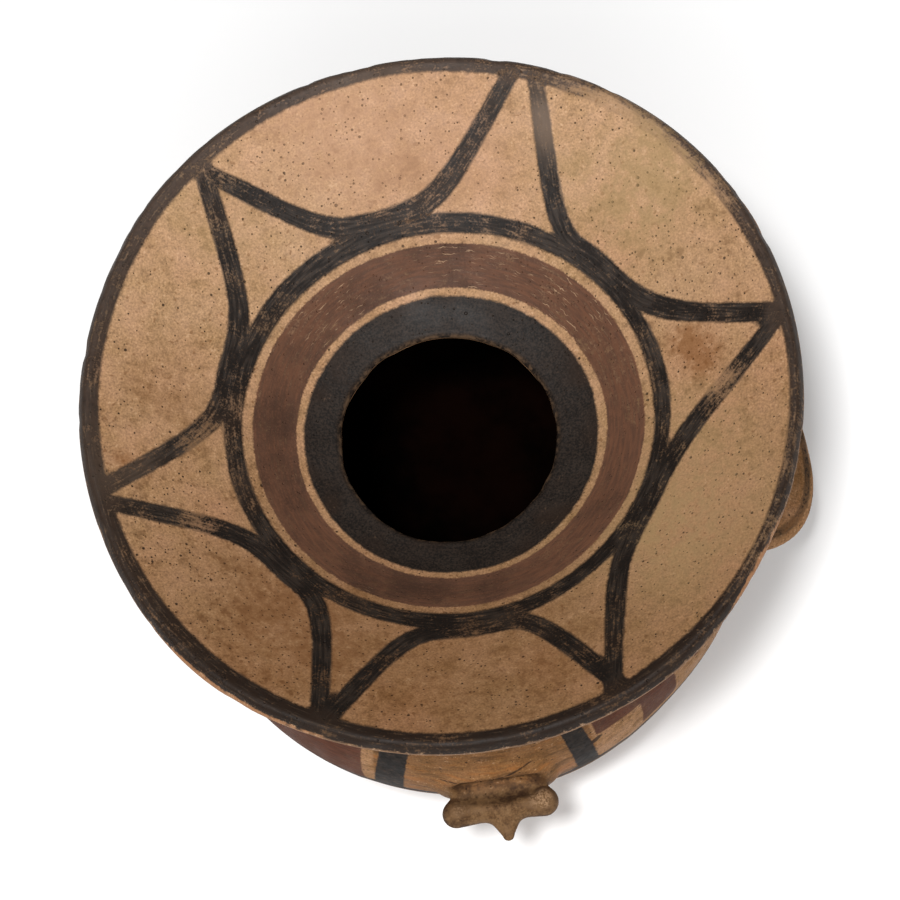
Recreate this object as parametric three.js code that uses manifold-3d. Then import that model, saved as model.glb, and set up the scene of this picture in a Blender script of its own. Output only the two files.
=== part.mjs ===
// A painted earthenware olla: a globular jar with a very wide funnel rim and four lugs.
// Units are millimetres, +Z is up. The origin is the centre of the flat foot.
// The head lug points along -Y, the side lugs along +X and -X, the tail lug along +Y.

import * as THREE from 'three';
import { mergeVertices } from 'three/addons/utils/BufferGeometryUtils.js';
import Module from 'manifold-3d';

const wasm = await Module();
wasm.setup();

// Body
const bodyRadius = 124.5;
const bellyDepth = 120;
const shoulderRise = 103;
const footRadius = 38;
const wall = 7;
const footWall = 10;

// Funnel rim, from the throat outwards: a gentle ledge, a steeper collar and the wide rim
const throatRadius = 45;
const throatWall = 6.5;
const ledgeWidth = 19;
const ledgeRise = 5.7;
const collarWidth = 20;
const collarRise = 13.8;
const rimWidth = 66;
const rimRise = 33.5;
const rimWall = 8;
const rimCrown = 1.8;

// Head lug: a neck, a cross bar with round ends and a pointed snout
const neckWidth = 48;
const neckReach = 13;
const neckHeight = 17;
const barLength = 50;
const barThickness = 12;
const barReach = 8;
const snoutReach = 15.5;
const snoutWidth = 22;
const snoutHeight = 12;
const snoutTip = 3;

// Side lugs and tail lug: flattened rounded ledges
const finWidth = 77;
const finReach = 30;
const finThickness = 19;
// Both side lugs are turned this many degrees towards the tail lug
const finTurn = 3;
const tailWidth = 44;
const tailReach = 25;
const tailThickness = 18;

// All lugs sit this far below the widest level of the body
const lugDrop = 6;

// Facets around the axis, along each profile and around the lugs
const turnSegments = 56;
const bellySteps = 9;
const shoulderSteps = 11;
const funnelSteps = 11;
const lipSteps = 5;
const lugSegments = 20;
const barEndSteps = 5;

const widestHeight = bellyDepth * Math.sqrt(1 - (footRadius / bodyRadius) ** 2);
const lugHeight = widestHeight - lugDrop;
const cavityRadius = bodyRadius - wall;
const cavityRise = shoulderRise - wall;
const cavityDepth = widestHeight - footWall;
const throatUnderside = widestHeight + cavityRise * Math.sqrt(1 - (throatRadius / cavityRadius) ** 2);
const throatHeight = throatUnderside + throatWall;
const lipHeight = throatHeight + ledgeRise + collarRise + rimRise;
const lipRadius = throatRadius + ledgeWidth + collarWidth + rimWidth;

// Part of an ellipse about the axis, between two angles measured up from the widest level.
function ellipseArc(radius, height, start, end, steps) {
  const points = [];
  for (let i = 0; i <= steps; i++) {
    const angle = start + ((end - start) * i) / steps;
    points.push(new THREE.Vector2(radius * Math.cos(angle), widestHeight + height * Math.sin(angle)));
  }
  return points;
}

// Upper surface of the funnel, a smooth curve from the throat's edge out to the lip.
function funnelSurface() {
  const edgeRound = throatWall / 2;
  const ledgeRadius = throatRadius + ledgeWidth;
  const collarRadius = ledgeRadius + collarWidth;
  const collarHeight = throatHeight + ledgeRise + collarRise;
  const lipRound = rimWall / 2;
  const lean = rimRise / Math.hypot(rimRise, rimWidth);
  const curve = new THREE.SplineCurve([
    new THREE.Vector2(throatRadius + edgeRound, throatHeight),
    new THREE.Vector2(ledgeRadius, throatHeight + ledgeRise),
    new THREE.Vector2(collarRadius, collarHeight),
    new THREE.Vector2(collarRadius + rimWidth / 2, collarHeight + rimRise / 2 + rimCrown),
    new THREE.Vector2(lipRadius - lipRound * (1 + lean), lipHeight),
  ]);
  return curve.getPoints(funnelSteps);
}

// The same curve moved down by the rim's wall, square to the surface.
function offsetBelow(points, distance) {
  return points.map((point, i) => {
    const before = points[Math.max(i - 1, 0)];
    const after = points[Math.min(i + 1, points.length - 1)];
    const along = after.clone().sub(before).normalize();
    return new THREE.Vector2(point.x + along.y * distance, point.y - along.x * distance);
  });
}

function turned(points) {
  return solid(new THREE.LatheGeometry(points, turnSegments));
}

// Makes a closed geometry a solid that can be joined and cut. A turned shape's Y axis becomes Z.
function solid(geometry, placement = new THREE.Matrix4().makeRotationX(Math.PI / 2)) {
  const bare = geometry.clone().applyMatrix4(placement);
  bare.deleteAttribute('normal');
  bare.deleteAttribute('uv');
  const merged = mergeVertices(bare, 1e-4);
  return new wasm.Manifold(new wasm.Mesh({
    numProp: 3,
    vertProperties: new Float32Array(merged.attributes.position.array),
    triVerts: new Uint32Array(merged.index.array),
  }));
}

function globe() {
  const footAngle = -Math.acos(footRadius / bodyRadius);
  const axisPoint = new THREE.Vector2(0, 0);
  const belly = ellipseArc(bodyRadius, bellyDepth, footAngle, 0, bellySteps);
  const shoulder = ellipseArc(bodyRadius, shoulderRise, 0, Math.PI / 2, shoulderSteps).slice(1);
  shoulder[shoulder.length - 1].x = 0;
  return turned([axisPoint, ...belly, ...shoulder]);
}

function rim() {
  const surface = funnelSurface();
  const under = offsetBelow(surface, rimWall);
  const lipRound = rimWall / 2;
  const lipTop = surface[surface.length - 1];
  const lipBottom = under[under.length - 1];
  const centre = lipTop.clone().add(lipBottom).multiplyScalar(0.5);
  const startAngle = Math.atan2(lipBottom.y - centre.y, lipBottom.x - centre.x);
  const lip = [];
  for (let i = 1; i < lipSteps; i++) {
    const angle = startAngle + (Math.PI * i) / lipSteps;
    lip.push(new THREE.Vector2(centre.x + lipRound * Math.cos(angle), centre.y + lipRound * Math.sin(angle)));
  }
  const axisBottom = new THREE.Vector2(0, under[0].y);
  const axisTop = new THREE.Vector2(0, lipTop.y);
  return turned([axisBottom, ...under, ...lip, lipTop, axisTop]);
}

function cavity() {
  const lower = ellipseArc(cavityRadius, cavityDepth, -Math.PI / 2, 0, bellySteps);
  const upper = ellipseArc(cavityRadius, cavityRise, 0, Math.PI / 2, bellySteps).slice(1);
  lower[0].x = 0;
  upper[upper.length - 1].x = 0;
  return turned([...lower, ...upper]);
}

// The open space of the mouth: the throat's hole with its rounded edge, and the funnel above it.
function mouthSpace() {
  const surface = funnelSurface();
  const edgeRound = throatWall / 2;
  const lipTop = surface[surface.length - 1];
  const aboveLip = lipTop.y + 2 * rimWall;
  const edge = [0, Math.PI / 4].map((angle) => new THREE.Vector2(
    throatRadius + edgeRound * (1 - Math.cos(angle)),
    throatHeight - edgeRound * (1 - Math.sin(angle)),
  ));
  return turned([
    new THREE.Vector2(0, throatUnderside - wall),
    new THREE.Vector2(throatRadius, throatUnderside - wall),
    ...edge,
    ...surface,
    new THREE.Vector2(lipTop.x, aboveLip),
    new THREE.Vector2(0, aboveLip),
  ]);
}

// A flattened rounded ledge, centred inside the wall, that reaches past the body in direction angle.
function ledge(width, reach, thickness, angle) {
  const rootRadius = bodyRadius - wall / 2;
  const depth = bodyRadius + reach - rootRadius;
  const shape = new THREE.SphereGeometry(1, lugSegments, lugSegments / 2);
  const placement = new THREE.Matrix4()
    .makeRotationZ(angle)
    .multiply(new THREE.Matrix4().makeTranslation(rootRadius, 0, lugHeight))
    .multiply(new THREE.Matrix4().makeScale(depth, width / 2, thickness / 2))
    .multiply(new THREE.Matrix4().makeRotationX(Math.PI / 2));
  return solid(shape, placement);
}

function headLug() {
  const barRadius = barThickness / 2;
  const barCentre = -(bodyRadius + barReach);
  const barHeight = lugHeight + neckHeight / 4;
  const neck = ledge(neckWidth, neckReach, neckHeight, -Math.PI / 2);
  const barShape = new THREE.CapsuleGeometry(barRadius, barLength - barThickness, barEndSteps, lugSegments / 2);
  const barPlace = new THREE.Matrix4()
    .makeTranslation(0, barCentre, barHeight)
    .multiply(new THREE.Matrix4().makeRotationZ(Math.PI / 2));
  const snoutShape = new THREE.CylinderGeometry(snoutTip / 2, snoutWidth / 2, snoutReach, lugSegments);
  const snoutPlace = new THREE.Matrix4()
    .makeTranslation(0, barCentre - snoutReach / 2, barHeight)
    .multiply(new THREE.Matrix4().makeScale(1, 1, snoutHeight / snoutWidth))
    .multiply(new THREE.Matrix4().makeRotationX(Math.PI));
  return neck.add(solid(barShape, barPlace)).add(solid(snoutShape, snoutPlace));
}

function vessel() {
  const finAngle = THREE.MathUtils.degToRad(finTurn);
  const outside = globe()
    .add(rim())
    .add(headLug())
    .add(ledge(finWidth, finReach, finThickness, finAngle))
    .add(ledge(finWidth, finReach, finThickness, Math.PI - finAngle))
    .add(ledge(tailWidth, tailReach, tailThickness, Math.PI / 2));
  return outside.subtract(cavity()).subtract(mouthSpace());
}

function geometryOf(manifold) {
  const mesh = manifold.getMesh();
  const geometry = new THREE.BufferGeometry();
  geometry.setAttribute('position', new THREE.BufferAttribute(mesh.vertProperties, 3));
  geometry.setIndex(new THREE.BufferAttribute(mesh.triVerts, 1));
  geometry.computeVertexNormals();
  return geometry;
}

const clay = new THREE.MeshStandardMaterial({ color: 0xb58c67, roughness: 0.75, metalness: 0 });
const olla = new THREE.Mesh(geometryOf(vessel()), clay);
olla.name = 'olla';

const model = new THREE.Group();
model.add(olla);

export default model;
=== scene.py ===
"""Looks of a painted earthenware olla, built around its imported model.

The jar is one surface of revolution with hand-built unevenness, joined to four lugs.
Its paint is worked out as distances to each painted stroke, kept on the surface as
attributes, and turned into worn, brushed colour by the materials. Sizes in the named
values are millimetres, and the meshes are in metres.
"""
import math

import bpy
import numpy as np
from mathutils import Matrix


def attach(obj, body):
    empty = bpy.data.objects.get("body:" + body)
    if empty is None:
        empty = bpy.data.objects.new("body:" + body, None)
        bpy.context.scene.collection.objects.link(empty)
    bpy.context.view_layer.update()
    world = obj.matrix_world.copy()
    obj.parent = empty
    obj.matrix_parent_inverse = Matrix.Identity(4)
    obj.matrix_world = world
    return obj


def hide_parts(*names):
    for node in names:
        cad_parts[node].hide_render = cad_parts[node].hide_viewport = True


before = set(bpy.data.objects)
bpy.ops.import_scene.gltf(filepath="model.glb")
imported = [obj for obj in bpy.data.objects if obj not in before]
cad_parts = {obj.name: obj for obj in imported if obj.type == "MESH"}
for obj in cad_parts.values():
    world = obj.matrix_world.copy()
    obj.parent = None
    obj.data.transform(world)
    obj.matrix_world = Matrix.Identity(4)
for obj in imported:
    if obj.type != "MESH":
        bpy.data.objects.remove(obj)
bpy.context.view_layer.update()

MM = 0.001

# Clay form
BODY_RADIUS = 124.5
BELLY_DEPTH = 120.0
SHOULDER_RISE = 103.0
FOOT_RADIUS = 38.0
WALL = 7.0
FOOT_WALL = 10.0
THROAT_RADIUS = 45.0
THROAT_WALL = 6.5
LEDGE_WIDTH = 19.0
LEDGE_RISE = 5.7
COLLAR_WIDTH = 20.0
COLLAR_RISE = 13.8
RIM_WIDTH = 66.0
RIM_RISE = 33.5
RIM_WALL = 8.0
RIM_CROWN = 1.8
LUG_DROP = 6.0
LIP_ROUND = RIM_WALL / 2
LIP_SQUARENESS = 0.62

WIDEST = BELLY_DEPTH * math.sqrt(1 - (FOOT_RADIUS / BODY_RADIUS) ** 2)
CAVITY_RADIUS = BODY_RADIUS - WALL
CAVITY_RISE = SHOULDER_RISE - WALL
CAVITY_DEPTH = WIDEST - FOOT_WALL
THROAT_UNDERSIDE = WIDEST + CAVITY_RISE * math.sqrt(1 - (THROAT_RADIUS / CAVITY_RADIUS) ** 2)
THROAT_HEIGHT = THROAT_UNDERSIDE + THROAT_WALL
LEDGE_RADIUS = THROAT_RADIUS + LEDGE_WIDTH
COLLAR_RADIUS = LEDGE_RADIUS + COLLAR_WIDTH
COLLAR_HEIGHT = THROAT_HEIGHT + LEDGE_RISE + COLLAR_RISE
LIP_HEIGHT = COLLAR_HEIGHT + RIM_RISE
LIP_RADIUS = COLLAR_RADIUS + RIM_WIDTH
LUG_HEIGHT = WIDEST - LUG_DROP

# Mesh fineness: points around the axis, and the grid spacing of the lugs' distance fields
AROUND = 288
HEAD_PITCH = 0.8
FIN_PITCH = 1.35

# Paint on the funnel: edges of the rings, from the throat outwards
THROAT_BAND_EDGE = 61.1
BROWN_BAND_INNER = 64.1
BROWN_BAND_OUTER = 80.2
BLACK_RING_INNER = 83.8
BLACK_RING_OUTER = 91.2
RIM_BAND_INNER = 140.6

# Star strokes: where each one touches the black ring, how far it runs each way to the rim
# (degrees, anticlockwise from +X), and how sharply it turns up on each side
STAR_STROKES = (
    (100.6, 27.7, 29.5, 2.89, 3.30),
    (43.7, 24.0, 38.4, 2.60, 4.17),
    (-34.0, 41.3, 35.3, 2.80, 2.80),
    (-88.5, 21.9, 26.7, 4.60, 4.60),
    (-140.0, 24.5, 29.7, 3.08, 3.37),
    (-197.4, 27.1, 36.1, 2.78, 3.34),
)
STROKE_NEAREST = 91.6
STROKE_FARTHEST = 146.0
STROKE_WIDTH = 8.4


def smooth_step(low, high, value):
    """0 below low, 1 above high, and the cubic 3t^2 - 2t^3 between them."""
    t = np.clip((value - low) / (high - low), 0, 1)
    return t * t * (3 - 2 * t)


def value_noise(points, size, seed):
    """Smooth noise from -1 to 1: random values on a cubic lattice of the given size, blended
    by smooth_step weights between the eight corners around each point."""
    rng = np.random.default_rng(seed)
    table = rng.uniform(-1, 1, (32, 32, 32))
    cell = np.asarray(points) / size
    base = np.floor(cell).astype(int)
    part = cell - base
    part = part * part * (3 - 2 * part)
    total = np.zeros(len(cell))
    for corner in np.ndindex(2, 2, 2):
        weight = np.prod(np.where(corner, part, 1 - part), axis=1)
        at = (base + corner) % 32
        total += weight * table[at[:, 0], at[:, 1], at[:, 2]]
    return total


def funnel_curve(steps):
    """Upper surface of the funnel, radius and height: a Catmull-Rom curve through the throat's
    edge, the ledge, the collar, the rim's crown and the lip."""
    lip_round = RIM_WALL / 2
    lean = RIM_RISE / math.hypot(RIM_RISE, RIM_WIDTH)
    knots = np.array([
        (THROAT_RADIUS + THROAT_WALL / 2, THROAT_HEIGHT),
        (LEDGE_RADIUS, THROAT_HEIGHT + LEDGE_RISE),
        (COLLAR_RADIUS, COLLAR_HEIGHT),
        (COLLAR_RADIUS + RIM_WIDTH / 2, COLLAR_HEIGHT + RIM_RISE / 2 + RIM_CROWN),
        (LIP_RADIUS - lip_round * (1 + lean), LIP_HEIGHT),
    ])
    t = np.linspace(0, len(knots) - 1, steps)
    i = np.minimum(t.astype(int), len(knots) - 2)
    w = (t - i)[:, None]
    before, start = knots[np.maximum(i - 1, 0)], knots[i]
    end, after = knots[i + 1], knots[np.minimum(i + 2, len(knots) - 1)]
    out_slope, in_slope = (end - before) / 2, (after - start) / 2
    return ((2 * start - 2 * end + out_slope + in_slope) * w**3
            + (3 * end - 3 * start - 2 * out_slope - in_slope) * w**2 + out_slope * w + start)


FUNNEL = funnel_curve(400)


def funnel_height(radius):
    """Height of the funnel's upper surface at each radius."""
    return np.interp(radius, FUNNEL[:, 0], FUNNEL[:, 1])


def ellipse_arc(radius, height, start, end, steps):
    """Points of an ellipse about the widest level: radius * cos(a), widest + height * sin(a)."""
    angle = np.linspace(start, end, steps)
    return np.stack([radius * np.cos(angle), WIDEST + height * np.sin(angle)], 1)


def soften(points, reach):
    """Rounds a profile: each point moves to the mean of its neighbours along the profile,
    with bell weights as wide as its own reach."""
    along = np.r_[0, np.cumsum(np.hypot(*np.diff(points, axis=0).T))]
    gap = (along[:, None] - along[None, :]) / np.maximum(reach, 1e-3)[:, None]
    weight = np.exp(-gap * gap)
    weight *= np.gradient(along)[None, :]
    return weight @ points / weight.sum(1)[:, None]


def rim_underside():
    """The funnel's curve moved square to itself by the rim's wall."""
    along = np.gradient(FUNNEL, axis=0)
    along /= np.hypot(*along.T)[:, None]
    return FUNNEL + RIM_WALL * np.stack([along[:, 1], -along[:, 0]], 1)


def vessel_profile():
    """The closed profile from the foot's centre up the outside, over the lip, down the funnel and
    through the throat to the inside's lowest point, spaced for the detail that each stretch needs."""
    under = rim_underside()
    shoulder = ellipse_arc(BODY_RADIUS, SHOULDER_RISE, 0, math.pi / 2, 500)
    shoulder_height = np.interp(under[:, 0], shoulder[::-1, 0], shoulder[::-1, 1])
    clear = under[np.argmax((under[:, 1] > shoulder_height) & (under[:, 0] > THROAT_RADIUS + WALL)):]
    shoulder = shoulder[shoulder[:, 0] > clear[0, 0]]
    foot_angle = -math.acos(FOOT_RADIUS / BODY_RADIUS)
    belly = ellipse_arc(BODY_RADIUS, BELLY_DEPTH, foot_angle, 0, 500)
    foot = np.stack([np.linspace(0, FOOT_RADIUS, 100), np.zeros(100)], 1)
    top, bottom = FUNNEL[-1], clear[-1]
    centre = (top + bottom) / 2
    turn = math.atan2(*(bottom - centre)[::-1]) + np.linspace(0, math.pi, 60)
    outwards = np.array([math.cos(turn[0] + math.pi / 2), math.sin(turn[0] + math.pi / 2)])
    upwards = np.array([-outwards[1], outwards[0]])
    sweep = np.linspace(-math.pi / 2, math.pi / 2, 60)[:, None]
    lip = centre + LIP_ROUND * (
        np.abs(np.cos(sweep)) ** LIP_SQUARENESS * outwards
        + np.sign(np.sin(sweep)) * np.abs(np.sin(sweep)) ** LIP_SQUARENESS * upwards)
    edge_angle = np.linspace(0, math.pi, 40)
    edge = np.stack([THROAT_RADIUS + THROAT_WALL / 2 * (1 - np.sin(edge_angle)),
                     THROAT_HEIGHT - THROAT_WALL / 2 * (1 - np.cos(edge_angle))], 1)
    start = math.acos((THROAT_RADIUS + THROAT_WALL / 2) / CAVITY_RADIUS)
    ceiling = ellipse_arc(CAVITY_RADIUS, CAVITY_RISE, start, 0, 300)
    hollow = ellipse_arc(CAVITY_RADIUS, CAVITY_DEPTH, 0, -math.pi / 2, 300)
    stretches = (
        (foot, 6.0, 0.5), (belly[1:], 3.4, 0.5), (shoulder[1:], 3.0, 0.5), (clear, 3.6, 0.5),
        (lip[1:-1], 0.8, 0.7), (FUNNEL[::-1], 1.4, 0.5), (edge[1:], 0.8, 0.3),
        (ceiling[1:], 6.0, 0.5), (hollow[1:], 9.0, 0.5),
    )
    points = np.concatenate([s[0] for s in stretches])
    spacing = np.concatenate([np.full(len(s[0]), s[1]) for s in stretches])
    reach = np.concatenate([np.full(len(s[0]), s[2]) for s in stretches])
    crease = np.hypot(*(points - clear[0]).T)
    outside = points[:, 1] < funnel_height(points[:, 0]) - RIM_WALL / 2
    reach += 5.0 * np.exp(-(crease / 9) ** 2) * outside
    reach += 3.0 * np.exp(-(np.hypot(*(points - (FOOT_RADIUS, 0)).T) / 5) ** 2)
    rounded = soften(points, reach)
    rounded[0], rounded[-1] = points[0], points[-1]
    rounded[:100, 1] = 0
    along = np.r_[0, np.cumsum(np.hypot(*np.diff(rounded, axis=0).T))]
    rows = np.r_[0, np.cumsum(np.diff(along) / ((spacing[1:] + spacing[:-1]) / 2))]
    at = np.linspace(0, rows[-1], int(rows[-1]) + 1)
    return np.stack([np.interp(at, rows, rounded[:, 0]), np.interp(at, rows, rounded[:, 1])], 1)


def new_piece(name, points, faces):
    """An object in the scene whose mesh has these points, in millimetres, and faces."""
    mesh = bpy.data.meshes.new(name)
    mesh.from_pydata((points * MM).tolist(), [], faces)
    mesh.validate()
    piece = bpy.data.objects.new(name, mesh)
    bpy.context.scene.collection.objects.link(piece)
    return piece


def piece_from_rings(name, rings, first_pole, last_pole):
    """A closed piece from rings of points (rows, columns, 3) that wrap around, closed by a fan
    of triangles at a pole point before the first ring and one after the last."""
    rows, columns = rings.shape[:2]
    number = np.arange(rows * columns).reshape(rows, columns)
    right = np.roll(number, -1, axis=1)
    quads = np.stack([number[:-1], right[:-1], right[1:], number[1:]], -1).reshape(-1, 4)
    first, last = rows * columns, rows * columns + 1
    start = np.stack([np.full(columns, first), right[0], number[0]], -1)
    end = np.stack([np.full(columns, last), number[-1], right[-1]], -1)
    points = np.concatenate([rings.reshape(-1, 3), [first_pole, last_pole]])
    return new_piece(name, points, quads.tolist() + start.tolist() + end.tolist())


def press_hollow(rings):
    """Moves the outer wall behind the head lug's hollow inwards, onto the far side of the
    hollow's ellipsoid made one millimetre larger."""
    offset = (rings - HOLLOW_CENTRE) / (np.array(HOLLOW_RADII) + 1)
    depth = np.sqrt(np.clip(1 - offset[..., 0] ** 2 - offset[..., 2] ** 2, 0, None))
    far_side = HOLLOW_CENTRE[1] + (HOLLOW_RADII[1] + 1) * depth
    outer = (depth > 0) & (rings[..., 1] < -(CAVITY_RADIUS + WALL / 2))
    rings[..., 1] = np.where(outer, np.maximum(rings[..., 1], far_side), rings[..., 1])
    return rings


def turned_vessel():
    """The jar without lugs: each profile point (r, z) turned to (r cos a, r sin a, z)."""
    profile = vessel_profile()
    angle = np.linspace(0, 2 * math.pi, AROUND, endpoint=False)
    body = profile[1:-1]
    rings = np.stack([
        body[:, :1] * np.cos(angle), body[:, :1] * np.sin(angle),
        np.repeat(body[:, 1:], AROUND, axis=1)], -1)
    poles = [(0, 0, profile[end, 1]) for end in (0, -1)]
    return piece_from_rings("olla_clay", press_hollow(rings), *poles)


def to_globe(points, inset=0.0):
    """Distance to the body's ellipsoid, negative inside, by the ellipsoid's scaled length."""
    height = np.where(points[..., 2] > WIDEST, SHOULDER_RISE, BELLY_DEPTH) - inset
    scale = np.stack([np.full_like(height, BODY_RADIUS - inset)] * 2 + [height], -1)
    offset = points - (0, 0, WIDEST)
    near = np.sqrt(((offset / scale) ** 2).sum(-1))
    steep = np.sqrt(((offset / scale**2) ** 2).sum(-1))
    return near * (near - 1) / steep


def to_ellipsoid(points, centre, radii):
    """Distance to an ellipsoid, negative inside, by its scaled length."""
    offset = points - centre
    near = np.sqrt(((offset / radii) ** 2).sum(-1))
    steep = np.sqrt(((offset / np.square(radii)) ** 2).sum(-1))
    return near * (near - 1) / np.maximum(steep, 1e-6)


def to_rod(points, start, end, start_radius, end_radius):
    """Distance to a rod with round ends whose radius changes evenly from start to end."""
    start, end = np.array(start, float), np.array(end, float)
    along = np.clip((points - start) @ (end - start) / ((end - start) ** 2).sum(), 0, 1)
    gap = np.sqrt(((points - start - along[..., None] * (end - start)) ** 2).sum(-1))
    return gap - (start_radius + (end_radius - start_radius) * along)


def join_softly(a, b, fillet):
    """The nearer of two distances, with a fillet where they are nearly the same."""
    blend = np.clip(0.5 + 0.5 * (b - a) / fillet, 0, 1)
    return b + (a - b) * blend - fillet * blend * (1 - blend)


def cut_softly(a, b, fillet):
    """Distance a with the shape of distance b taken out of it, with a rounded edge."""
    return -join_softly(-a, b, fillet)


# Head lug
BAR_LENGTH = 50.0
BAR_THICKNESS = 11.4
BAR_REACH = 9.8
SNOUT_REACH = 14.4
SNOUT_WIDTH = 20.0
SNOUT_SIDE = 1.6
SNOUT_FLATNESS = 0.55
NECK_CENTRE = (0.0, -122.0, LUG_HEIGHT + 3)
NECK_RADII = (25.0, 7.2, 21.0)
HOLLOW_CENTRE = (0.5, -127.6, LUG_HEIGHT + 12.6)
HOLLOW_RADII = (20.0, 6.4, 7.0)

# Side lugs and tail lug
FIN_WIDTH = 77.0
FIN_BACK_SHARE = 1.1
FIN_SQUARENESS = 2.5
FIN_TURN = math.radians(3)
FIN_REACH = 30.0
FIN_THICKNESS = 19.0
TAIL_WIDTH = 44.0
TAIL_REACH = 25.0
TAIL_THICKNESS = 18.0
DROOP = 0.06


def head_field(points):
    """Distance to the head lug, which points along -Y: a low neck smeared up the wall, a cross
    bar with round ends, a flattened pointed snout, and a hollow between the bar and the wall."""
    bar_y = -(BODY_RADIUS + BAR_REACH)
    bar_z = LUG_HEIGHT + 4
    half = (BAR_LENGTH - BAR_THICKNESS) / 2
    thick = BAR_THICKNESS / 2
    middle = (0, bar_y + 0.4, bar_z - 0.6)
    right = to_rod(points, middle, (half - 0.4, bar_y, bar_z + 0.4), thick * 0.9, thick * 1.1)
    left = to_rod(points, middle, (-half + 0.4, bar_y - 0.2, bar_z - 0.8), thick * 0.9, thick * 1.06)
    flat = (points - (SNOUT_SIDE, 0, bar_z - 1.8)) / (1, 1, SNOUT_FLATNESS)
    snout = SNOUT_FLATNESS * to_rod(flat, (0, bar_y, 0), (0.4, bar_y - SNOUT_REACH + 2.6, -1.6),
                                    SNOUT_WIDTH / 2, 2.6)
    bar = join_softly(join_softly(left, right, 1.5), snout, 2.5)
    neck = join_softly(to_ellipsoid(points, NECK_CENTRE, NECK_RADII), to_globe(points, 0.15), 6)
    hollow = to_ellipsoid(points, HOLLOW_CENTRE, HOLLOW_RADII)
    return cut_softly(join_softly(neck, bar, 4.5), hollow, 2.2)


def fin_field(direction, width, reach, thickness, back_share=1.0, squareness=2.1):
    """Distance to a flattened ledge that points along direction and droops a little. Its plan is
    a slightly squared ellipse, wider by back_share towards the tail."""
    ahead = np.array([math.cos(direction), math.sin(direction), 0])
    side = np.array([-ahead[1], ahead[0], 0])
    towards_tail = 1 if side[1] >= 0 else -1

    def field(points):
        root = BODY_RADIUS - WALL / 2
        out, sideways = points @ ahead - root, points @ side
        uneven = 0.3 * np.sin(sideways / 9) + 0.2 * np.sin(sideways / 5 + 1)
        up = points[..., 2] - LUG_HEIGHT + out * DROOP + uneven
        sideways = sideways / np.where(sideways * towards_tail > 0, back_share, 1.0)
        plan = (np.abs(out / (reach + WALL / 2)) ** squareness
                + np.abs(sideways / (width / 2)) ** squareness) ** (2 / squareness)
        fin = (np.sqrt(plan + (up / (thickness / 2)) ** 2) - 1) * thickness / 2
        return join_softly(fin, to_globe(points, 0.15), 7)

    return field


def shift_slices(step, axis):
    """Index that drops the last entry along one axis for step 0, and the first for step 1."""
    index = [slice(None)] * 3
    index[axis] = slice(0, -1) if step == 0 else slice(1, None)
    return tuple(index)


def surface_net(name, field, low, high, pitch):
    """A closed surface where a distance field is zero. In each cell of a cubic grid that the
    surface crosses there is one point, the mean of the crossings on the cell's edges, and each
    crossed edge gets a quad through its four cells, turned so that it faces outwards."""
    axes = [np.arange(low[k], high[k] + pitch, pitch) for k in range(3)]
    lattice = np.stack(np.meshgrid(*axes, indexing="ij"), -1)
    value = field(lattice)
    counts = tuple(n - 1 for n in value.shape)
    total, hits = np.zeros((*counts, 3)), np.zeros(counts)
    crossings = []
    for axis in range(3):
        near, far = value[shift_slices(0, axis)], value[shift_slices(1, axis)]
        crossed = (near < 0) != (far < 0)
        share = np.where(crossed, near / np.where(crossed, near - far, 1), 0)
        place_on = lattice[shift_slices(0, axis)] + share[..., None] * pitch * np.eye(3)[axis]
        first, second = [k for k in range(3) if k != axis]
        for a in (0, 1):
            for b in (0, 1):
                part = [slice(None)] * 3
                part[first] = slice(a, a + counts[first])
                part[second] = slice(b, b + counts[second])
                part = tuple(part)
                total += np.where(crossed[part][..., None], place_on[part], 0)
                hits += crossed[part]
        crossings.append((axis, first, second, crossed, near < 0))
    active = hits > 0
    number = np.full(counts, -1)
    number[active] = np.arange(active.sum())
    points = total[active] / hits[active][:, None]
    quads = []
    for axis, first, second, crossed, starts_inside in crossings:
        at = np.argwhere(crossed)
        at = at[(at[:, first] > 0) & (at[:, second] > 0)
                & (at[:, first] < counts[first]) & (at[:, second] < counts[second])]
        u, v = np.eye(3, dtype=int)[first], np.eye(3, dtype=int)[second]
        ring = np.stack([number[tuple((at - u - v).T)], number[tuple((at - v).T)],
                         number[tuple(at.T)], number[tuple((at - u).T)]], 1)
        outward = starts_inside[tuple(at.T)] ^ (axis == 1)
        quads.append(np.where(outward[:, None], ring, ring[:, ::-1]))
    return new_piece(name, points, np.concatenate(quads).tolist())


def rooted(field, low, high):
    """The same field kept outside the middle of the jar's wall and within a box."""
    centre, half = (np.array(low) + high) / 2, (np.array(high, float) - low) / 2 - 1.2

    def kept(points):
        boxed = (np.abs(points - centre) - half).max(-1)
        return np.maximum(np.maximum(field(points), -to_globe(points, WALL * 0.6)), boxed)

    return kept


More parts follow.
